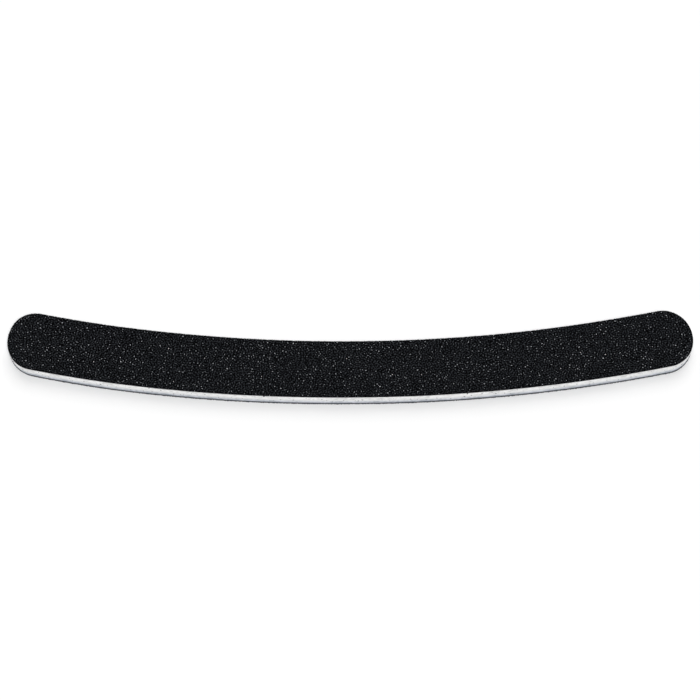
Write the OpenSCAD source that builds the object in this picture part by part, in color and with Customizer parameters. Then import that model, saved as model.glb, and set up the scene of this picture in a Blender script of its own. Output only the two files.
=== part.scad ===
// Cushioned emery board, bent like a banana, lying flat on its lower abrasive face.
// Millimetres. X runs along the board, Z is up, and both tips point towards +Y.
// The origin is at the centre of the footprint, on the surface that the board lies on.

/* [Plan outline] */
// Overall length, tip to tip along X
overall_length = 178; // [100:0.5:240]
// Width across the board
board_width = 16.2; // [12:0.1:30]
// Radius that the board's centre line is bent to
bend_radius = 392; // [220:1:1500]
// How much the arc at the middle of an end is flatter than a half circle: extra radius
crown_flattening = 1.3; // [0.2:0.05:5]
// How much the two shoulder arcs of an end are tighter than a half circle: radius taken off
shoulder_tightening = 0.85; // [0.2:0.05:4]

/* [Abrasive sheets] */
// Height of the abrasive grain above the coat that holds it
grit_height = 0.16; // [0.05:0.01:0.5]
// Thickness of the resin coat that the grain is set in
bond_coat_thickness = 0.08; // [0.03:0.01:0.3]
// Thickness of the waterproof backing paper
backing_thickness = 0.20; // [0.08:0.01:0.6]
// Thickness of the adhesive that holds each abrasive sheet to its cushion
adhesive_thickness = 0.06; // [0.03:0.01:0.3]

/* [Cushions and core] */
// Thickness of each foam cushion
foam_thickness = 1.19; // [0.5:0.01:4]
// Thickness of the glue between a cushion and the core
core_glue_thickness = 0.06; // [0.03:0.01:0.3]
// Thickness of the plastic core strip that stiffens the board
core_thickness = 0.50; // [0.2:0.05:2]

/* [Cut edge] */
// How far the grain stops short of the cut edge, where the die breaks it away
grit_setback = 0.06; // [0:0.01:0.5]
// How far the adhesive and the glue stop short of the cut edge, where the foam closes over them
glue_setback = 0.12; // [0:0.01:0.5]
// How far the core strip stops short of the cut edge
core_setback = 0.03; // [0:0.01:0.5]

/* [Hidden] */

// Sides of a whole circle: the long arcs of the bend need more than the short arcs of the ends
BEND_SIDES = 1440;
END_SIDES = 360;
// How far past the tip of the board the band is drawn before its ends are cut to shape
BAND_OVERRUN = 1;
// Reach of the wedges that cut the ends, in board widths: enough to clear the band's square ends
WEDGE_REACH = 2;
// Overlap of neighbouring end cuts, in degrees
CUT_OVERLAP = 12;
// Shoulder arcs stand this far outside true tangency, so that they cross their neighbours cleanly
ARC_CROSSING = 0.004;

// An end is a crown arc between two shoulder arcs, each running smoothly into the next
half_width = board_width / 2;
crown_radius = half_width + crown_flattening;
shoulder_radius = half_width - shoulder_tightening;
shoulder_cut_radius = shoulder_radius + ARC_CROSSING;
// From the line where the bend stops and the end begins, back to the crown arc's centre
crown_setback = sqrt((crown_radius - shoulder_radius) ^ 2 - shoulder_tightening ^ 2);
// Angle from the end's axis to where the crown meets a shoulder
crown_half_angle = atan2(shoulder_tightening, crown_setback);

// Half the angle that the bend turns through. The tip of the board lies on the crown arc
// when the bend is gentle, and on the outer shoulder arc when it is tight.
angle_by_crown = asin((overall_length / 2 - crown_radius) / norm([bend_radius, crown_setback]))
    + atan2(crown_setback, bend_radius);
angle_by_shoulder = asin((overall_length / 2 - shoulder_cut_radius) / (bend_radius + shoulder_tightening));
bend_half_angle = angle_by_crown <= crown_half_angle ? angle_by_crown : angle_by_shoulder;

// Place of the bend's centre, so that the outline is centred on Y = 0
highest_below_centre = (bend_radius - shoulder_tightening) * cos(bend_half_angle) - shoulder_cut_radius;
lowest_below_centre = bend_radius + half_width;
bend_centre_y = (highest_below_centre + lowest_below_centre) / 2;

// Thickness of every ply, from the surface that the board lies on upwards
PLY_THICKNESS = [
    grit_height, bond_coat_thickness, backing_thickness, adhesive_thickness, foam_thickness, core_glue_thickness,
    core_thickness,
    core_glue_thickness, foam_thickness, adhesive_thickness, backing_thickness, bond_coat_thickness, grit_height
];

// Height of the underside of a ply: what lies below it, added up
function ply_bottom(ply) = ply == 0 ? 0 : ply_bottom(ply - 1) + PLY_THICKNESS[ply - 1];

function direction(angle) = [cos(angle), sin(angle)];

// Wedge between two directions, with its point at the origin
module wedge(from, to, reach) {
    polygon([[0, 0], for (step = [0:2]) reach * direction(from + (to - from) * step / 2)]);
}

// The bent band, drawn about the bend's centre and running on past both tips
module long_band(setback) {
    overrun_angle = atan2(crown_radius - crown_setback + BAND_OVERRUN, bend_radius);
    half_angle = bend_half_angle + overrun_angle;
    intersection() {
        difference() {
            circle(r = bend_radius + half_width - setback, $fn = BEND_SIDES);
            circle(r = bend_radius - half_width + setback, $fn = BEND_SIDES);
        }
        wedge(-90 - half_angle, -90 + half_angle, bend_radius * WEDGE_REACH);
    }
}

// What lies beyond an end arc about the origin, between two directions
module beyond_arc(radius, from, to) {
    difference() {
        wedge(from, to, board_width * WEDGE_REACH);
        circle(r = radius, $fn = END_SIDES);
    }
}

// What is cut from an end, drawn with the end's axis along X and the bend stopping at X = 0
module end_offcut(setback) {
    crown_reach = crown_half_angle + CUT_OVERLAP;
    translate([-crown_setback, 0]) beyond_arc(crown_radius - setback, -crown_reach, crown_reach);
    for (side = [0, 1]) mirror([0, side]) translate([0, shoulder_tightening])
        beyond_arc(shoulder_cut_radius - setback, crown_half_angle, 90);
}

// Plan outline of the board, drawn in by a setback all round
module board_outline(setback) {
    translate([0, bend_centre_y]) difference() {
        long_band(setback);
        for (side = [0, 1]) mirror([side, 0])
            rotate(bend_half_angle) translate([0, -bend_radius]) end_offcut(setback);
    }
}

// One ply of the stack, counted from the lowest
module ply(number, setback) {
    translate([0, 0, ply_bottom(number)])
        linear_extrude(height = PLY_THICKNESS[number]) board_outline(setback);
}

// Black silicon carbide grain of the face that the board lies on
module lower_grit() {
    color("#1c1d1f") ply(0, grit_setback);
}

// Dark resin that holds the lower grain
module lower_bond_coat() {
    color("#141416") ply(1, grit_setback);
}

// Dark waterproof paper under the lower coat
module lower_backing() {
    color("#3a3c42") ply(2, 0);
}

// Adhesive between the lower sheet and its cushion
module lower_adhesive() {
    color("#d8d4c4") ply(3, glue_setback);
}

// White closed-cell cushion under the core
module lower_foam() {
    color("#e9ebef") ply(4, 0);
}

// Glue between the lower cushion and the core
module lower_core_glue() {
    color("#d8d4c4") ply(5, glue_setback);
}

// White plastic strip that stiffens the board
module core_strip() {
    color("#f7f7f5") ply(6, core_setback);
}

// Glue between the core and the upper cushion
module upper_core_glue() {
    color("#d8d4c4") ply(7, glue_setback);
}

// White closed-cell cushion over the core
module upper_foam() {
    color("#f2f2f2") ply(8, 0);
}

// Adhesive between the upper cushion and its sheet
module upper_adhesive() {
    color("#d8d4c4") ply(9, glue_setback);
}

// Dark waterproof paper over the upper cushion
module upper_backing() {
    color("#3a3c42") ply(10, 0);
}

// Dark resin that holds the upper grain
module upper_bond_coat() {
    color("#141416") ply(11, grit_setback);
}

// Black silicon carbide grain of the face that shows
module upper_grit() {
    color("#1c1d1f") ply(12, grit_setback);
}

upper_grit();
upper_bond_coat();
upper_backing();
upper_adhesive();
upper_foam();
upper_core_glue();
core_strip();
lower_core_glue();
lower_foam();
lower_adhesive();
lower_backing();
lower_bond_coat();
lower_grit();
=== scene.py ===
import math

import bpy
import numpy as np
from mathutils import Matrix, Vector


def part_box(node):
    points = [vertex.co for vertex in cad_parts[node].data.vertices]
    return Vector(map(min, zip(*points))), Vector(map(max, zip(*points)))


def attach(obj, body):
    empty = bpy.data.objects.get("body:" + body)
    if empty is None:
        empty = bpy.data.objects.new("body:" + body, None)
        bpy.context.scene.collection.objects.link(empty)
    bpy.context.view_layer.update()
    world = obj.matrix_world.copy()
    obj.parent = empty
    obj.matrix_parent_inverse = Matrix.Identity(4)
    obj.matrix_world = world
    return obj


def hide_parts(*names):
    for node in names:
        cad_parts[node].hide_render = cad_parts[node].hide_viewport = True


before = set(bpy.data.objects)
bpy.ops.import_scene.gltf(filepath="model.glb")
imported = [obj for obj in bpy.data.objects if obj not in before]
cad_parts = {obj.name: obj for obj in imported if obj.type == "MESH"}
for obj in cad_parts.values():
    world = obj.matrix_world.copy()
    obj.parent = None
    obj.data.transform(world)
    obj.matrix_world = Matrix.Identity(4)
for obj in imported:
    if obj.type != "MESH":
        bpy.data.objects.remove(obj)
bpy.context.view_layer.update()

# Emery board: a laminate cut to a banana outline, lying flat with its hollow edge towards +Y.
# Lengths are metres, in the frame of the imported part. Heights count from the face that it lies on.

# Plan outline
MM = 0.001
BOARD_WIDTH = 16.2 * MM
BEND_RADIUS = 392 * MM
CROWN_FLATTENING = 1.3 * MM
SHOULDER_TIGHTENING = 0.85 * MM

# How the cut wall departs from that outline
TIP_LEAN = 0.5 * MM
WALL_FLARE = 0.05 * MM
WALL_BULGE = 0.14 * MM
SWELL_HEIGHT = 1.7 * MM
TIP_LIP = 0.13 * MM
LIP_ROUNDING = 0.06 * MM

# Where the cut strayed: side (1 inner, -1 outer), place along the board, reach each way, and how far outwards
CUT_STRAYS = (
    (-1, -62 * MM, 18 * MM, 0.27 * MM),
    (-1, -89 * MM, 1.2 * MM, -0.2 * MM),
    (-1, -32 * MM, 10 * MM, 0.045 * MM),
    (-1, 2 * MM, 6 * MM, -0.035 * MM),
    (-1, 74 * MM, 12 * MM, 0.06 * MM),
    (1, -66 * MM, 15 * MM, -0.115 * MM),
    (1, -85.5 * MM, 3 * MM, 0.23 * MM),
    (1, 68 * MM, 12 * MM, 0.05 * MM),
    (1, 86.5 * MM, 2.5 * MM, -0.085 * MM),
)

# The same for the foot of the wall alone, where the blade leaned
FOOT_STRAYS = (
    (-1, -87 * MM, 2.6 * MM, -0.33 * MM),
    (-1, -78 * MM, 6 * MM, -0.09 * MM),
    (-1, 88.5 * MM, 2.4 * MM, -0.19 * MM),
)

# How far each ply's edge lies inside the true outline, negative where it stands out
GRAIN_SETBACK = {"upper": -0.055 * MM, "lower": -0.12 * MM}
PAPER_SETBACK = {"upper": -0.03 * MM, "lower": -0.085 * MM}
FOAM_SETBACK = 0.0
GLUE_SETBACK = 0.12 * MM
CORE_SETBACK = 0.03 * MM

# Spacing of mesh points
GRAIN_SPACING = 0.2 * MM
WALL_STEP = 0.25 * MM
FOAM_ROW = 0.07 * MM
THIN_ROW = 0.05 * MM
FEWEST_ARC_STEPS = 4
TINY = 1e-9

HALF_WIDTH = BOARD_WIDTH / 2
CROWN_RADIUS = HALF_WIDTH + CROWN_FLATTENING
SHOULDER_RADIUS = HALF_WIDTH - SHOULDER_TIGHTENING
CROWN_SETBACK = math.sqrt((CROWN_RADIUS - SHOULDER_RADIUS) ** 2 - SHOULDER_TIGHTENING ** 2)
CROWN_HALF_ANGLE = math.atan2(SHOULDER_TIGHTENING, CROWN_SETBACK)

# The rest comes from the frame
SHEET_LOW, SHEET_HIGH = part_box("upper_backing")
HALF_LENGTH = (SHEET_HIGH[0] - SHEET_LOW[0]) / 2
CROWN_CENTRE_X = HALF_LENGTH - CROWN_RADIUS
BEND_HALF_ANGLE = (math.asin(CROWN_CENTRE_X / math.hypot(BEND_RADIUS, CROWN_SETBACK))
                   + math.atan2(CROWN_SETBACK, BEND_RADIUS))
BEND_CENTRE_Y = SHEET_LOW[1] + BEND_RADIUS + HALF_WIDTH
OUTER_EDGE_Y = BEND_CENTRE_Y - BEND_RADIUS - HALF_WIDTH
BOARD_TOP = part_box("upper_grit")[1][2]
SOFT_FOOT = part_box("lower_adhesive")[0][2]
SOFT_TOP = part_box("upper_adhesive")[1][2]


def heights_of(node):
    low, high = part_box(node)
    return low[2], high[2]


# How the wall leans, swells and strays

def undercut(height):
    """Share of the blade's lean that shows at a height: none under the upper paper, all at the foot."""
    return np.clip(1 - np.asarray(height) / SOFT_TOP, 0, 1)


def tip_lip(facing, height):
    """How far the lower sheet stands out past the leaning foam at both tips, its upper edge worn round."""
    return TIP_LIP * facing ** 2 * np.clip((SOFT_FOOT - height) / LIP_ROUNDING, 0, 1)


def wall_bulge(height):
    """How far the soft plies swell past the paper at a height, most just below mid-thickness."""
    above = (height - SWELL_HEIGHT) / (SOFT_TOP - SWELL_HEIGHT)
    below = (SWELL_HEIGHT - height) / (SWELL_HEIGHT - SOFT_FOOT)
    return WALL_BULGE * np.clip(1 - np.maximum(above, below) ** 2, 0, 1)


def cut_stray(points, strays):
    """How far the cut ran outside the true outline beside each plan point, by one table of strays."""
    off_line = BEND_RADIUS - np.hypot(points[:, 0], points[:, 1] - BEND_CENTRE_Y)
    inner = 0.5 + 0.5 * np.clip(off_line / HALF_WIDTH, -1, 1)
    stray = np.zeros(len(points))
    for side, place, reach, amount in strays:
        share = inner if side > 0 else 1 - inner
        stray += amount * share * np.exp(-0.5 * ((points[:, 0] - place) / reach) ** 2)
    return stray


def wall_reach(points, facing, height):
    """How far the cut wall stands outside the true outline beside plan points, at a height."""
    flare = WALL_FLARE * (1 - height / BOARD_TOP)
    lean = cut_stray(points, FOOT_STRAYS) - TIP_LEAN * facing
    out = wall_bulge(height) + tip_lip(facing, height)
    return cut_stray(points, CUT_STRAYS) + flare + out + lean * undercut(height)


# Outline of a ply

def end_to_plan(along, across):
    """Takes points from the right end's own axes to the plan.

    along leaves the board, and across points to the centre of the bend.
    """
    c, s = math.cos(BEND_HALF_ANGLE), math.sin(BEND_HALF_ANGLE)
    x = BEND_RADIUS * s + along * c - across * s
    y = BEND_CENTRE_Y - BEND_RADIUS * c + along * s + across * c
    return np.stack([x, y], axis=-1)


def plan_to_end(points):
    """Which end is nearer (1 right, -1 left), and the points in that end's axes."""
    mirror = np.where(points[:, 0] < 0, -1.0, 1.0)
    c, s = math.cos(BEND_HALF_ANGLE), math.sin(BEND_HALF_ANGLE)
    dx = mirror * points[:, 0] - BEND_RADIUS * s
    dy = points[:, 1] - (BEND_CENTRE_Y - BEND_RADIUS * c)
    return mirror, dx * c + dy * s, -dx * s + dy * c


def arc_steps(radius, angle):
    return max(FEWEST_ARC_STEPS, int(round(radius * angle / WALL_STEP)))


def half_side(setback, side):
    """One side of the right half's outline, from the middle to the tip. side is -1 outer, 1 inner."""
    band = BEND_RADIUS - side * (HALF_WIDTH - setback)
    shoulder = SHOULDER_RADIUS - setback
    crown = CROWN_RADIUS - setback

    turn = np.linspace(0, BEND_HALF_ANGLE, arc_steps(BEND_RADIUS, BEND_HALF_ANGLE), endpoint=False)
    bend = np.stack([band * np.sin(turn), BEND_CENTRE_Y - band * np.cos(turn)], axis=-1)

    swing = math.pi / 2 - CROWN_HALF_ANGLE
    turn = np.linspace(math.pi / 2, CROWN_HALF_ANGLE, arc_steps(SHOULDER_RADIUS, swing), endpoint=False)
    across = side * (SHOULDER_TIGHTENING + shoulder * np.sin(turn))
    round_shoulder = end_to_plan(shoulder * np.cos(turn), across)

    turn = np.linspace(CROWN_HALF_ANGLE, 0, arc_steps(CROWN_RADIUS, CROWN_HALF_ANGLE) + 1)
    round_crown = end_to_plan(-CROWN_SETBACK + crown * np.cos(turn), side * crown * np.sin(turn))
    return np.vstack([bend, round_shoulder, round_crown])


def outline_loop(setback):
    """Closed outline, anticlockwise from the left tip: the outer side, then the inner side back."""
    sides = []
    for side in (-1, 1):
        right = half_side(setback, side)
        left = right[:0:-1] * [-1, 1]
        sides.append(np.vstack([left, right]))
    outer, inner = sides
    return np.vstack([outer, inner[-2:0:-1]])


def loop_normals(loop):
    tangent = np.roll(loop, -1, axis=0) - np.roll(loop, 1, axis=0)
    normal = np.stack([tangent[:, 1], -tangent[:, 0]], axis=-1)
    return normal / np.linalg.norm(normal, axis=1)[:, None]


def end_facing(loop, normal):
    """How squarely each outline point faces along the board: 0 all along the sides, 1 at the tips."""
    mirror, along, _ = plan_to_end(loop)
    facing = mirror * normal[:, 0] * math.cos(BEND_HALF_ANGLE) + normal[:, 1] * math.sin(BEND_HALF_ANGLE)
    return np.where(along > 0, np.clip(facing, 0, 1), 0.0)


def edge_distance(points, setback, height):
    """How far each plan point lies outside the cut edge, negative inside, and the outward direction there."""
    from_centre = np.stack([np.abs(points[:, 0]), points[:, 1] - BEND_CENTRE_Y], axis=-1)
    radius = np.linalg.norm(from_centre, axis=1)
    off_line = BEND_RADIUS - radius
    side = np.where(off_line >= 0, 1.0, -1.0)
    band_distance = np.abs(off_line) - (HALF_WIDTH - setback)
    band_normal = -side[:, None] * from_centre / radius[:, None]

    mirror, along, across = plan_to_end(points)
    end_side = np.where(across >= 0, 1.0, -1.0)
    crown_vector = np.stack([along + CROWN_SETBACK, across], axis=-1)
    shoulder_vector = np.stack([along, across - end_side * SHOULDER_TIGHTENING], axis=-1)
    in_crown = np.abs(np.arctan2(crown_vector[:, 1], crown_vector[:, 0])) <= CROWN_HALF_ANGLE
    vector = np.where(in_crown[:, None], crown_vector, shoulder_vector)
    reach = np.linalg.norm(vector, axis=1)
    unit = vector / np.maximum(reach, TINY)[:, None]
    end_distance = reach - np.where(in_crown, CROWN_RADIUS, SHOULDER_RADIUS) + setback
    c, s = math.cos(BEND_HALF_ANGLE), math.sin(BEND_HALF_ANGLE)
    end_normal = np.stack([unit[:, 0] * c - unit[:, 1] * s, unit[:, 0] * s + unit[:, 1] * c], axis=-1)

    at_end = along > 0
    facing = np.where(at_end, np.clip(unit[:, 0], 0, 1), 0.0)
    distance = np.where(at_end, end_distance, band_distance) - wall_reach(points, facing, height)
    normal = np.where(at_end[:, None], end_normal, band_normal)
    normal[:, 0] *= mirror
    return distance, normal


# Mesh and noise helpers

def smooth_noise(shape, blur, rng):
    """Noise of zero mean and unit spread on a grid that wraps round, blurred by so many cells each way."""
    field = rng.standard_normal(shape)
    spectrum = np.fft.fft2(field)
    for axis, width in enumerate(blur):
        wave = np.fft.fftfreq(shape[axis])
        fade = np.exp(-2 * (math.pi * wave * width) ** 2)
        spectrum *= fade[:, None] if axis == 0 else fade[None, :]
    field = np.fft.ifft2(spectrum).real
    return (field - field.mean()) / field.std()


def make_object(name, points, faces, material, flat=False):
    mesh = bpy.data.meshes.new(name)
    mesh.from_pydata([tuple(p) for p in points], [], faces)
    mesh.validate()
    mesh.update()
    mesh.polygons.foreach_set("use_smooth", [not flat] * len(mesh.polygons))
    obj = bpy.data.objects.new(name, mesh)
    bpy.context.collection.objects.link(obj)
    mesh.materials.append(material)
    return obj


def set_attribute(obj, name, domain, values):
    attribute = obj.data.attributes.new(name, "FLOAT", domain)
    attribute.data.foreach_set("value", np.asarray(values, dtype=np.float32).ravel())


def stand_for(obj, node):
    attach(obj, "root")
    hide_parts(node)
    return obj


# Plies with a cut wall
CORNER_EASE = 0.02 * MM

# Marks of the cutting die on a wall. Heights are in mesh rows, because every ply has its own.
SCORE_ROWS = 0.7
SCORE_DEPTH = 0.6
PIT_BLUR = (0.6, 1.2)
PIT_DEPTH = 0.5
SHALLOWEST_PIT = 0.4
FOAM_RELIEF = 0.012 * MM
FOAM_SCORE_LENGTH = 4 * MM
THIN_RELIEF = 0.006 * MM
THIN_SCORE_LENGTH = 1.5 * MM

# Tone marks on the cut foam: how tall and how long each kind is, and its strength
FOAM_MARKS = (
    (0.3 * MM, 0.9 * MM, 0.14),
    (0.8 * FOAM_ROW, 4 * MM, 0.06),
    (0.15 * MM, 0.2 * MM, 0.20),
)
CLEAN_LEVEL = 0.9
# How sharply the painted shade fades in at the foam's foot and head
FOOT_SHADE_FADE = 1.3
HEAD_SHADE_FADE = 1.5

# Cut foam of each side: its tones, how far painted shade darkens it at its foot and head, and how strong its
# marks are
FOAM_LOOK = {
    "upper": {
        "shaded": (0.66, 0.66, 0.66),
        "unshaded": (0.99, 0.99, 0.99),
        "foot": 0.0,
        "head": 0.45,
        "marks": 1.0,
    },
    "lower": {
        "shaded": (0.215, 0.255, 0.29),
        "unshaded": (0.815, 0.84, 0.885),
        "foot": 0.76,
        "head": 0.12,
        "marks": 0.5,
    },
}


def ply_rows(low, high, row, rounding):
    """Heights of the wall's rings. The corners are eased, so the first and last rings crowd the corner."""
    count = max(2, int(round((high - low) / row)))
    even = np.linspace(low, high, count + 1)
    return np.unique(np.concatenate([[low, low + rounding, high - rounding, high], even[1:-1]]))


def ply_faces(rows, columns):
    """Faces of a closed ply: quads between its rings, and a ladder of quads across its foot and its top."""
    faces = []
    for j in range(rows - 1):
        low, high = j * columns, (j + 1) * columns
        for i in range(columns):
            k = (i + 1) % columns
            faces.append((low + i, low + k, high + k, high + i))
    top = (rows - 1) * columns
    half = columns // 2
    faces.append((0, columns - 1, 1))
    faces.append((top, top + 1, top + columns - 1))
    for i in range(1, half - 1):
        a, b = i, columns - i
        faces.append((a, b, b - 1, a + 1))
        faces.append((top + a, top + a + 1, top + b - 1, top + b))
    faces.append((half - 1, half + 1, half))
    faces.append((top + half - 1, top + half, top + half + 1))
    return faces


def ply_piece(name, node, setback, row, rounding, relief, material):
    """A ply as a closed mesh, and the rows, columns and heights of its wall, which relief makes rough."""
    low, high = heights_of(node)
    loop = outline_loop(setback)
    normal = loop_normals(loop)
    heights = ply_rows(low, high, row, rounding)
    rows, columns = len(heights), len(loop)
    out = relief(rows, columns) + wall_reach(loop, end_facing(loop, normal), heights[:, None])
    out[0] -= rounding
    out[-1] -= rounding
    rings = loop[None] + out[..., None] * normal[None]
    tall = np.broadcast_to(heights[:, None], (rows, columns))
    points = np.dstack([rings, tall]).reshape(-1, 3)
    return make_object(name, points, ply_faces(rows, columns), material), (rows, columns), heights


def knife_relief(depth, length, seed):
    """Lengthwise scores left by the cutting die, fine across the wall and long along it, with small pits."""
    def relief(rows, columns):
        rng = np.random.default_rng(seed)
        scores = smooth_noise((rows, columns), (SCORE_ROWS, length / WALL_STEP), rng)
        pits = smooth_noise((rows, columns), PIT_BLUR, rng)
        return depth * (SCORE_DEPTH * scores + PIT_DEPTH * np.minimum(pits, SHALLOWEST_PIT))
    return relief


def mark_and_shade_values(shape, heights, look, seed):
    """Tone of the cut foam from 0, shaded, to 1, unshaded: marks of three sizes, and painted shade darkening
    its foot and head.
    """
    rng = np.random.default_rng(seed)
    marks = np.zeros(shape)
    for tall, long, strength in FOAM_MARKS:
        marks += strength * smooth_noise(shape, (tall / FOAM_ROW, long / WALL_STEP), rng)
    rise = (heights - heights[0]) / (heights[-1] - heights[0])
    # Painted shade: the tone falls towards the foam's foot and its head
    unshaded = 1 - look["foot"] * (1 - rise) ** FOOT_SHADE_FADE - look["head"] * rise ** HEAD_SHADE_FADE
    return np.clip(CLEAN_LEVEL * unshaded[:, None] + look["marks"] * marks, 0, 1)


def build_cushion(which, material, seed, streak_seed):
    node = f"{which}_foam"
    relief = knife_relief(FOAM_RELIEF, FOAM_SCORE_LENGTH, seed)
    obj, shape, heights = ply_piece(
        f"{which}_cushion", node, FOAM_SETBACK, FOAM_ROW, CORNER_EASE, relief, material)
    # The attribute carries the knife marks and the painted shade at foot and head
    set_attribute(obj, "marks_and_shade", "POINT", mark_and_shade_values(shape, heights, FOAM_LOOK[which], streak_seed))
    return stand_for(obj, node)


def build_thin(name, node, setback, material, seed):
    relief = knife_relief(THIN_RELIEF, THIN_SCORE_LENGTH, seed)
    obj, _, _ = ply_piece(name, node, setback, THIN_ROW, CORNER_EASE / 2, relief, material)
    return stand_for(obj, node)


# Abrasive grain. Sizes of the grid are shares of the grain spacing.
SPARE_POINTS = 4
ROW_SHIFT = 0.5
GRAIN_JITTER = 0.3
SNAP_REACH = 0.5
SMALLEST_FACET = 0.08

# How high the grains reach, as shares of the ply, and how far the rim's grains stick out
REACH_SHAPE = (1.6, 1.3)
LOWEST_REACH = 0.3
RIM_LOWEST_REACH = 0.35
RIM_REACH_RANGE = 0.6
RIM_RAGGEDNESS = {"upper": 0.022 * MM, "lower": 0.03 * MM}
LONGEST_SNAG = 2.5

# Tone of the facets, with a painted sheen and painted glints: bright grains lie about one grain wave apart,
# with some scatter
GRAIN_WAVE = 0.65 * MM
WAVE_SPREAD = 0.28
GRAIN_EVENNESS = 0.5 * MM
WAVE_CELL = GRAIN_SPACING / 4
WAVE_MARGIN = 1 * MM
WAVE_SHARE = 0.62
BODY_TONE = 0.00022
BODY_SPREAD = 0.1
# Painted sheen and painted glints: reflections put into the facets' colour
PAINTED_SHEEN_TONE = 0.0116
PAINTED_SHEEN_SPREAD = 0.66
PAINTED_SHEEN_SHARE = 0.375
PAINTED_GLINT_TONE = 0.19
PAINTED_GLINT_SPREAD = 0.52
PAINTED_GLINT_SHARE = 0.0112
RIM_FACET_SHARE = 0.6
RIM_TONE = {"upper": 0.0002, "lower": 0.075}
RIM_SPREAD = 0.4

# The grain's colour ramp runs from the darkest facet up, and its equal steps are equal ratios
DARKEST_FACET = 0.0002
FACET_RANGE = 3000
RAMP_STOPS = 9
BRIGHT_TINT = (0.97, 1.0, 1.05)
DARK_TINT_SHIFT = (-0.30, 0.0, 0.55)


def grain_grid(rng):
    """Jittered triangular grid over the whole outline, every other row shifted by half a spacing."""
    rise = GRAIN_SPACING * math.sqrt(3) / 2
    columns = int((SHEET_HIGH[0] - SHEET_LOW[0]) / GRAIN_SPACING) + SPARE_POINTS
    rows = int((SHEET_HIGH[1] - SHEET_LOW[1]) / rise) + SPARE_POINTS
    i, j = np.meshgrid(np.arange(columns), np.arange(rows))
    x = (i - (columns - 1) / 2 + ROW_SHIFT * (j % 2 - 0.5)) * GRAIN_SPACING
    y = (j - (rows - 1) / 2) * rise
    points = np.stack([x, y], axis=-1).reshape(-1, 2)
    points += rng.uniform(-GRAIN_JITTER, GRAIN_JITTER, points.shape) * GRAIN_SPACING

    corner = (j * columns + i)[:-1, :-1]
    right, above, beyond = corner + 1, corner + columns, corner + columns + 1
    even = j[:-1, :-1] % 2 == 0
    first = np.stack([corner, right, np.where(even, above, beyond)], axis=-1)
    second = np.stack([np.where(even, right, corner), beyond, above], axis=-1)
    return points, np.vstack([first.reshape(-1, 3), second.reshape(-1, 3)])


def fit_to_outline(points, triangles, setback, height):
    """Moves the points next to the cut edge onto it and keeps the triangles inside."""
    distance, normal = edge_distance(points, setback, height)
    near = np.abs(distance) < SNAP_REACH * GRAIN_SPACING
    points = np.where(near[:, None], points - distance[:, None] * normal, points)
    distance = np.where(near, 0.0, distance)
    triangles = triangles[(distance[triangles] <= 0).all(axis=1)]
    p, q, r = (points[triangles[:, k]] for k in range(3))
    area = 0.5 * ((q - p)[:, 0] * (r - p)[:, 1] - (q - p)[:, 1] * (r - p)[:, 0])
    triangles = triangles[area > SMALLEST_FACET * GRAIN_SPACING ** 2]
    used = np.unique(triangles)
    number = np.full(len(points), -1)
    number[used] = np.arange(len(used))
    return points[used], number[triangles], near[used], normal[used]


def rim_loops(triangles):
    """Rings of points round the edge of a sheet of triangles, in the sheet's own direction."""
    edges = np.vstack([triangles[:, [0, 1]], triangles[:, [1, 2]], triangles[:, [2, 0]]])
    inside = {(int(b), int(a)) for a, b in edges}
    following = {}
    for a, b in edges:
        if (int(a), int(b)) not in inside:
            following.setdefault(int(a), []).append(int(b))
    loops = []
    while following:
        start = next(iter(following))
        loop = [start]
        here = following[start].pop()
        while here != start:
            loop.append(here)
            here = following[here].pop()
        following = {k: v for k, v in following.items() if v}
        loops.append(loop)
    return loops


def grain_waves(places, rng):
    """Noise at plan points, evenly strong all over, whose bright patches lie about one grain wave apart."""
    columns = int((SHEET_HIGH[0] - SHEET_LOW[0] + 2 * WAVE_MARGIN) / WAVE_CELL)
    rows = int((SHEET_HIGH[1] - SHEET_LOW[1] + 2 * WAVE_MARGIN) / WAVE_CELL)
    rate = np.hypot(np.fft.fftfreq(rows)[:, None], np.fft.fftfreq(columns)[None, :]) / WAVE_CELL
    fade = np.exp(-0.5 * ((rate * GRAIN_WAVE - 1) / WAVE_SPREAD) ** 2)
    field = np.fft.ifft2(np.fft.fft2(rng.standard_normal((rows, columns))) * fade).real
    nearby = np.exp(-2 * (math.pi * rate * GRAIN_EVENNESS) ** 2)
    field /= np.sqrt(np.fft.ifft2(np.fft.fft2(field ** 2) * nearby).real)
    column = ((places[:, 0] - SHEET_LOW[0] + WAVE_MARGIN) / WAVE_CELL).astype(int)
    row = ((places[:, 1] - SHEET_LOW[1] + WAVE_MARGIN) / WAVE_CELL).astype(int)
    return (field / field.std())[row, column]


def grain_tone(centres, count, peak, at_rim, rim_level, rng):
    """Ramp places of all facets, and of the rim's wall at each point.

    A facet has a dark body colour, some get a painted sheen on top, and a few get a painted glint.
    """
    crystal = rng.standard_normal(count)
    rank = WAVE_SHARE * grain_waves(centres, rng) + (1 - WAVE_SHARE) * rng.standard_normal(len(centres))
    rank /= rank.std()
    sheen_cut, glint_cut = (np.quantile(rank, 1 - share) for share in (PAINTED_SHEEN_SHARE, PAINTED_GLINT_SHARE))
    level = BODY_TONE * np.exp(BODY_SPREAD * rng.standard_normal(len(centres)))
    level += np.where(rank > sheen_cut, PAINTED_SHEEN_TONE * np.exp(PAINTED_SHEEN_SPREAD * (rank - sheen_cut)), 0)
    level += np.where(rank > glint_cut, PAINTED_GLINT_TONE * np.exp(PAINTED_GLINT_SPREAD * crystal[peak]), 0)
    level = np.where(at_rim, RIM_FACET_SHARE * level, level)
    return tone_place(level), tone_place(rim_level * np.exp(RIM_SPREAD * crystal))


def tone_place(level):
    """Place of a reflectance on the grain's colour ramp."""
    return np.clip(np.log(level / DARKEST_FACET) / math.log(FACET_RANGE), 0, 1)


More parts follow.
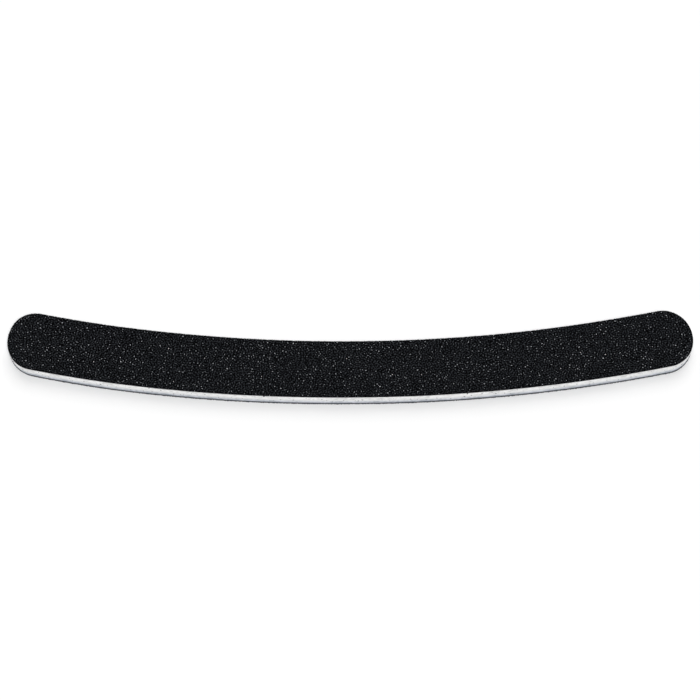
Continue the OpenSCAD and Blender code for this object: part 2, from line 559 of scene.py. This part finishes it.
def build_grain(which, material, seed):
    """The grain of one face as a closed mesh: every point is the tip or the foot of a grain."""
    rng = np.random.default_rng(seed)
    node = f"{which}_grit"
    low, high = heights_of(node)
    root, tip = (low, high) if which == "upper" else (high, low)
    points, triangles = grain_grid(rng)
    points, triangles, at_rim, normal = fit_to_outline(points, triangles, GRAIN_SETBACK[which], root)

    reach = rng.beta(*REACH_SHAPE, len(points))
    rim_reach = RIM_LOWEST_REACH + RIM_REACH_RANGE * reach
    reach = np.where(at_rim, rim_reach, LOWEST_REACH + (1 - LOWEST_REACH) * reach)
    snag = np.clip(rng.exponential(1.0, len(points)) - 1.0, -1.0, LONGEST_SNAG)
    points = points + np.where(at_rim, RIM_RAGGEDNESS[which] * snag, 0.0)[:, None] * normal
    verts = np.column_stack([points, root + (tip - root) * reach])
    if which == "lower":
        triangles = triangles[:, ::-1]

    peak = triangles[np.arange(len(triangles)), np.argmax(reach[triangles], axis=1)]
    centres = points[triangles].mean(axis=1)
    beside_rim = at_rim[triangles].any(axis=1)
    tone, rim_tone = grain_tone(centres, len(points), peak, beside_rim, RIM_TONE[which], rng)
    verts, faces, face_tone = close_sheet(verts, triangles, root, tone, rim_tone)
    obj = make_object(f"{which}_grain", verts, faces, material, flat=True)
    # The tone attribute holds each facet's colour with its painted sheen and painted glints
    set_attribute(obj, "tone", "FACE", face_tone)
    return stand_for(obj, node)


def close_sheet(verts, triangles, root, tone, rim_tone):
    """Closes a sheet of facets with a wall to the root height and a flat face there. Gives all tones."""
    faces = [tuple(t) for t in triangles.tolist()]
    face_tone = list(tone)
    for loop in rim_loops(triangles):
        first = len(verts)
        foot = verts[loop].copy()
        foot[:, 2] = root
        verts = np.vstack([verts, foot])
        count = len(loop)
        for i in range(count):
            k = (i + 1) % count
            faces.append((loop[k], loop[i], first + i, first + k))
            face_tone.append(rim_tone[loop[i]])
        faces.append(tuple(first + i for i in range(count))[::-1])
        face_tone.append(0.0)
    return verts, faces, face_tone


# Crumbs on the wall
CRUMB_CORNERS = 12
CRUMB_PUSH = (0.6, 1.15)
CRUMB_STAND_OFF = 0.1
# Neighbouring corners of an icosahedron are 0.447 apart in cosine, and the next ones -0.447
NEIGHBOUR_COSINE = 0.4

# Specks follow the wall with these gaps, and stop a few outline points before it closes
STEPS_LEFT_BARE = 4
SPECK_GAP = (0.8 * MM, 3.6 * MM)
SPECK_SIZE = (0.10 * MM, 0.27 * MM)
SPECK_STRETCH = (1.2, 2.6)
LOWER_SEAM_SCATTER = 0.08 * MM
UPPER_SEAM_SCATTER = 0.10 * MM
FOAM_SPECK_HEIGHTS = (2.3 * MM, 3.4 * MM)

# The two large chips over the upper edge: place along the board, height, size and stretch
CHIPS = ((-22.57 * MM, 3.44 * MM, 0.29 * MM, 1.9), (30.5 * MM, 3.33 * MM, 0.31 * MM, 1.8))
SMALL_CHIP_COUNT = 60
SMALL_CHIP_SIZE = (0.08 * MM, 0.16 * MM)
SMALL_CHIP_STRETCH = (1.0, 1.6)


def crumb_directions():
    """Corners of an icosahedron, one unit from its middle."""
    golden = (1 + math.sqrt(5)) / 2
    corners = []
    for a in (-1, 1):
        for b in (-golden, golden):
            corners += [(0, a, b), (a, b, 0), (b, 0, a)]
    return np.array(corners) / math.hypot(1, golden)


def crumb_faces():
    """Triangles between neighbouring corners of the icosahedron, all facing outwards."""
    unit = crumb_directions()
    faces = []
    for i in range(CRUMB_CORNERS):
        for j in range(i + 1, CRUMB_CORNERS):
            for k in range(j + 1, CRUMB_CORNERS):
                if min(unit[i] @ unit[j], unit[j] @ unit[k], unit[i] @ unit[k]) > NEIGHBOUR_COSINE:
                    turn = np.dot(np.cross(unit[j] - unit[i], unit[k] - unit[i]), unit[i])
                    faces.append((i, j, k) if turn > 0 else (i, k, j))
    return faces


def crumb_shape(size, stretch, rng):
    """One angular crumb: an icosahedron, its corners pushed in or out, drawn out along the wall."""
    corners = crumb_directions() * rng.uniform(*CRUMB_PUSH, (CRUMB_CORNERS, 1))
    return corners * [size * stretch / 2, size / 2, size / 2]


def build_crumbs(name, material, places, seed):
    """Crumbs on the cut wall. Each place is a point number of the outline, a height, a size and a stretch."""
    rng = np.random.default_rng(seed)
    loop = outline_loop(FOAM_SETBACK)
    normal = loop_normals(loop)
    facing = end_facing(loop, normal)
    pattern = crumb_faces()
    verts, faces = [], []
    for index, height, size, stretch in places:
        shape = crumb_shape(size, stretch, rng)
        n = normal[index]
        t = np.array([-n[1], n[0]])
        out = wall_reach(loop[[index]], facing[index], height)[0] + CRUMB_STAND_OFF * size
        base = loop[index] + out * n
        first = len(verts)
        for u, v, w in shape:
            x, y = base + u * t + v * n
            verts.append((x, y, height + w))
        faces += [(first + a, first + b, first + c) for a, b, c in pattern]
    obj = make_object(name, verts, faces, material, flat=True)
    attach(obj, "root")
    return obj


def seam_specks(rng):
    """Places of grey specks round the wall: dust on the core's seams and in the upper foam's cells."""
    lower_seam, upper_seam = (sum(heights_of(f"{which}_core_glue")) / 2 for which in ("lower", "upper"))
    count = len(outline_loop(FOAM_SETBACK))
    places = []
    index = 0
    while index < count - STEPS_LEFT_BARE:
        index += int(rng.uniform(*SPECK_GAP) / WALL_STEP)
        height = rng.choice([
            rng.normal(lower_seam, LOWER_SEAM_SCATTER),
            rng.normal(upper_seam, UPPER_SEAM_SCATTER),
            rng.uniform(*FOAM_SPECK_HEIGHTS),
        ])
        places.append((index % count, height, rng.uniform(*SPECK_SIZE), rng.uniform(*SPECK_STRETCH)))
    return places


def edge_chips(rng):
    """Places of the large chips of grit over the upper edge, and of small ones along both foam edges."""
    foam_edges = [heights_of("upper_foam")[1], heights_of("lower_foam")[0]]
    loop = outline_loop(FOAM_SETBACK)
    places = []
    for x, height, size, stretch in CHIPS:
        index = int(np.argmin(np.hypot(loop[:, 0] - x, loop[:, 1] - OUTER_EDGE_Y)))
        places.append((index, height, size, stretch))
    for _ in range(SMALL_CHIP_COUNT):
        index = int(rng.integers(len(loop)))
        height = rng.choice(foam_edges)
        places.append((index, height, rng.uniform(*SMALL_CHIP_SIZE), rng.uniform(*SMALL_CHIP_STRETCH)))
    return places


# Materials. The three tones of each paper are of its fibres, dark to pale.
PAPER_TONES = {"upper": (0.0065, 0.014, 0.042), "lower": (0.08, 0.10, 0.14)}
PAPER_STOPS = (0.35, 0.6, 0.75)
PAPER_TINTS = ((0.93, 1.0, 1.2), (0.93, 1.0, 1.2), (0.95, 1.0, 1.15))
PATCH_STOPS = (0.3, 0.7)
PLAIN_SPECULAR = 0.5


def new_material(name, roughness, specular):
    material = bpy.data.materials.new(name)
    material.use_nodes = True
    tree = material.node_tree
    shader = tree.nodes["Principled BSDF"]
    shader.inputs["Roughness"].default_value = roughness
    shader.inputs["Specular IOR Level"].default_value = specular
    return material, tree, shader


def add(tree, kind, **settings):
    node = tree.nodes.new(kind)
    for key, value in settings.items():
        setattr(node, key, value)
    return node


def ramp(tree, source, stops):
    node = add(tree, "ShaderNodeValToRGB")
    element = node.color_ramp.elements
    while len(element) < len(stops):
        element.new(0.5)
    for slot, (place, colour) in zip(element, stops):
        slot.position = place
        slot.color = (*colour, 1)
    tree.links.new(source, node.inputs["Fac"])
    return node.outputs["Color"]


def noise(tree, scale, detail=3.0, stretch=(1, 1, 1)):
    place = add(tree, "ShaderNodeTexCoord")
    mapping = add(tree, "ShaderNodeMapping")
    mapping.inputs["Scale"].default_value = stretch
    texture = add(tree, "ShaderNodeTexNoise")
    texture.inputs["Scale"].default_value = scale
    texture.inputs["Detail"].default_value = detail
    tree.links.new(place.outputs["Object"], mapping.inputs["Vector"])
    tree.links.new(mapping.outputs["Vector"], texture.inputs["Vector"])
    return texture.outputs["Fac"]


def bump(tree, shader, source, strength, distance):
    node = add(tree, "ShaderNodeBump")
    node.inputs["Strength"].default_value = strength
    node.inputs["Distance"].default_value = distance
    tree.links.new(source, node.inputs["Height"])
    tree.links.new(node.outputs["Normal"], shader.inputs["Normal"])


def grain_material():
    """Black silicon carbide: each facet has its own tone, bluish where dark, with a fine fracture texture.
    The tone holds a painted sheen and painted glints.
    """
    material, tree, shader = new_material("silicon_carbide_grain", roughness=0.32, specular=0.005)
    tone = add(tree, "ShaderNodeAttribute", attribute_name="tone")
    stops = []
    for place in np.linspace(0, 1, RAMP_STOPS):
        level = DARKEST_FACET * FACET_RANGE ** place
        tint = [bright + shift * (1 - place) ** 2 for bright, shift in zip(BRIGHT_TINT, DARK_TINT_SHIFT)]
        stops.append((place, [level * channel for channel in tint]))
    tree.links.new(ramp(tree, tone.outputs["Fac"], stops), shader.inputs["Base Color"])
    bump(tree, shader, noise(tree, scale=9000, detail=4), strength=0.5, distance=0.04 * MM)
    return material


def foam_material(name, look):
    """Knife-cut closed-cell foam: scores and marks darken it slightly, painted shade darkens its foot and
    head, and cells pit it.
    """
    material, tree, shader = new_material(name, roughness=0.9, specular=0.15)
    # Marks and painted shade reach the foam's colour through this attribute
    marks_and_shade = add(tree, "ShaderNodeAttribute", attribute_name="marks_and_shade")
    colour = ramp(tree, marks_and_shade.outputs["Fac"], [(0.0, look["shaded"]), (1.0, look["unshaded"])])
    tree.links.new(colour, shader.inputs["Base Color"])
    bump(tree, shader, noise(tree, scale=7000), strength=0.35, distance=0.05 * MM)
    return material


def paper_material(name, tones):
    """Cut edge of black waterproof paper, with a few fibres showing paler."""
    material, tree, shader = new_material(name, roughness=0.8, specular=0.2)
    fibre = noise(tree, scale=2600, detail=4, stretch=(0.5, 0.5, 2.0))
    stops = []
    for place, tone, tint in zip(PAPER_STOPS, tones, PAPER_TINTS):
        stops.append((place, [tone * channel for channel in tint]))
    tree.links.new(ramp(tree, fibre, stops), shader.inputs["Base Color"])
    bump(tree, shader, fibre, strength=0.5, distance=0.04 * MM)
    return material


def patchy_material(name, dark, pale, roughness, specular, strength, distance, **texture):
    """A material whose colour and bump follow one noise, set by texture."""
    material, tree, shader = new_material(name, roughness, specular)
    patch = noise(tree, **texture)
    colour = ramp(tree, patch, list(zip(PATCH_STOPS, (dark, pale))))
    tree.links.new(colour, shader.inputs["Base Color"])
    bump(tree, shader, patch, strength, distance)
    return material


def resin_material():
    return patchy_material(
        "bond_resin", dark=(0.004, 0.004, 0.005), pale=(0.012, 0.012, 0.014),
        roughness=0.5, specular=0.2, strength=0.4, distance=0.03 * MM, scale=1800)


def core_material():
    """Cut plastic: the noise is drawn out into lengthwise scores."""
    return patchy_material(
        "core_plastic_edge", dark=(0.78, 0.785, 0.79), pale=(0.91, 0.915, 0.92),
        roughness=0.55, specular=0.3, strength=0.4, distance=0.04 * MM,
        scale=1500, detail=4, stretch=(0.12, 0.12, 3.0))


def glue_material():
    return patchy_material(
        "clear_glue", dark=(0.50, 0.49, 0.46), pale=(0.70, 0.69, 0.66),
        roughness=0.35, specular=PLAIN_SPECULAR, strength=0.3, distance=0.03 * MM, scale=1200)


def speck_material():
    return patchy_material(
        "seam_speck", dark=(0.15, 0.15, 0.165), pale=(0.36, 0.36, 0.38),
        roughness=0.6, specular=PLAIN_SPECULAR, strength=0.4, distance=0.03 * MM, scale=4000)


# Light and floor
FLOOR_HALF = 1.5
FLOOR_COLOUR = (0.65, 0.65, 0.65)
FLOOR_GLOW = 0.229
WORLD_STRENGTH = 0.39
WHITE = (1, 1, 1, 1)
# Azimuth 0 stands at the camera's side and 180 behind the board. Angles are degrees.
KEY_LAMP = {"azimuth": 176, "elevation": 47, "spread": 56, "strength": 1.68}
FILL_LAMP = {"azimuth": 8, "elevation": 60, "spread": 14, "strength": 1.66}


def seen_directly(tree, strength):
    """A strength for camera, glossy and transmission rays alone, which doesn't light the object."""
    path = add(tree, "ShaderNodeLightPath")
    total = path.outputs["Is Camera Ray"]
    for ray in ("Is Glossy Ray", "Is Transmission Ray"):
        either = add(tree, "ShaderNodeMath", operation="MAXIMUM")
        tree.links.new(total, either.inputs[0])
        tree.links.new(path.outputs[ray], either.inputs[1])
        total = either.outputs["Value"]
    scaled = add(tree, "ShaderNodeMath", operation="MULTIPLY")
    tree.links.new(total, scaled.inputs[0])
    scaled.inputs[1].default_value = strength
    return scaled.outputs["Value"]


def floor_material():
    """Matt table that glows a little towards the camera, so that open floor is white and the shadow soft."""
    material, tree, shader = new_material("white_table", roughness=1.0, specular=0.0)
    shader.inputs["Base Color"].default_value = (*FLOOR_COLOUR, 1)
    glow = add(tree, "ShaderNodeEmission")
    glow.inputs["Color"].default_value = WHITE
    tree.links.new(seen_directly(tree, FLOOR_GLOW), glow.inputs["Strength"])
    both = add(tree, "ShaderNodeAddShader")
    tree.links.new(shader.outputs["BSDF"], both.inputs[0])
    tree.links.new(glow.outputs["Emission"], both.inputs[1])
    tree.links.new(both.outputs["Shader"], tree.nodes["Material Output"].inputs["Surface"])
    return material


def build_floor():
    corners = [(x * FLOOR_HALF, y * FLOOR_HALF, 0) for x, y in ((-1, -1), (1, -1), (1, 1), (-1, 1))]
    floor = make_object("table_top", corners, [(0, 1, 2, 3)], floor_material(), flat=True)


def build_world():
    world = bpy.data.worlds.new("studio")
    bpy.context.scene.world = world
    world.use_nodes = True
    tree = world.node_tree
    sky = tree.nodes["Background"]
    sky.inputs["Color"].default_value = WHITE
    extra = seen_directly(tree, 1.0 - WORLD_STRENGTH)
    total = add(tree, "ShaderNodeMath", operation="ADD")
    tree.links.new(extra, total.inputs[0])
    total.inputs[1].default_value = WORLD_STRENGTH
    tree.links.new(total.outputs["Value"], sky.inputs["Strength"])


def sun(name, azimuth, elevation, spread, strength):
    """A broad soft lamp at infinity."""
    lamp = bpy.data.lights.new(name, "SUN")
    lamp.energy = strength
    lamp.angle = math.radians(spread)
    obj = bpy.data.objects.new(name, lamp)
    a, e = math.radians(azimuth), math.radians(elevation)
    source = Vector((math.sin(a) * math.cos(e), -math.cos(a) * math.cos(e), math.sin(e)))
    obj.rotation_euler = source.to_track_quat("Z", "Y").to_euler()
    obj.location = source
    bpy.context.collection.objects.link(obj)


def build_lights():
    sun("key_behind", **KEY_LAMP)
    sun("fill_front", **FILL_LAMP)


# The camera stands two metres off with a long lens, as the photo's slight perspective asks
CAMERA_ELEVATION = math.radians(62.5)
CAMERA_ROLL = math.radians(-0.256)
CAMERA_DISTANCE = 1.991
CAMERA_AIM = Vector((-0.055 * MM, 3.385 * MM, 0))
LENS_MM = 393.7
SENSOR_MM = 36
NEAREST_SEEN = 0.05
FURTHEST_SEEN = 50


def build_camera():
    camera = bpy.data.cameras.new("camera")
    camera.lens = LENS_MM
    camera.sensor_width = SENSOR_MM
    camera.clip_start = NEAREST_SEEN
    camera.clip_end = FURTHEST_SEEN
    obj = bpy.data.objects.new("camera", camera)
    back = Vector((0, -math.cos(CAMERA_ELEVATION), math.sin(CAMERA_ELEVATION)))
    turn = back.to_track_quat("Z", "Y").to_matrix().to_4x4() @ Matrix.Rotation(CAMERA_ROLL, 4, "Z")
    obj.matrix_world = Matrix.Translation(CAMERA_AIM + back * CAMERA_DISTANCE) @ turn
    bpy.context.collection.objects.link(obj)
    bpy.context.scene.camera = obj


# The board. Each ply draws its marks from its own seed.
SIDE_SEED = {"upper": 100, "lower": 200}
PLY_SEED = {"resin": 10, "paper": 20, "tape": 30, "cushion": 40, "streaks": 41, "glue_line": 50}
CORE_SEED = 300
PLACES_SEED = 400
SPECK_SEED = 401
CHIP_SEED = 402


def build_side(which, grain, resin, paper, foam, glue):
    """The six plies of one side, from its face to the core."""
    seeds = {ply: SIDE_SEED[which] + step for ply, step in PLY_SEED.items()}

    def thin(piece, node, setback, material):
        build_thin(f"{which}_{piece}", f"{which}_{node}", setback, material, seeds[piece])

    build_grain(which, grain, SIDE_SEED[which])
    thin("resin", "bond_coat", GRAIN_SETBACK[which], resin)
    thin("paper", "backing", PAPER_SETBACK[which], paper)
    thin("tape", "adhesive", GLUE_SETBACK, glue)
    build_cushion(which, foam, seeds["cushion"], seeds["streaks"])
    thin("glue_line", "core_glue", GLUE_SETBACK, glue)


def build_board():
    grain = grain_material()
    resin = resin_material()
    glue = glue_material()
    for which in ("upper", "lower"):
        paper = paper_material(f"{which}_paper_edge", PAPER_TONES[which])
        foam = foam_material(f"{which}_foam_cut", FOAM_LOOK[which])
        build_side(which, grain, resin, paper, foam, glue)
    build_thin("core_plate", "core_strip", CORE_SETBACK, core_material(), CORE_SEED)
    rng = np.random.default_rng(PLACES_SEED)
    build_crumbs("seam_specks", speck_material(), seam_specks(rng), SPECK_SEED)
    build_crumbs("edge_chips", resin, edge_chips(rng), CHIP_SEED)


bpy.context.scene.view_settings.view_transform = "Standard"
build_board()
build_floor()
build_world()
build_lights()
build_camera()
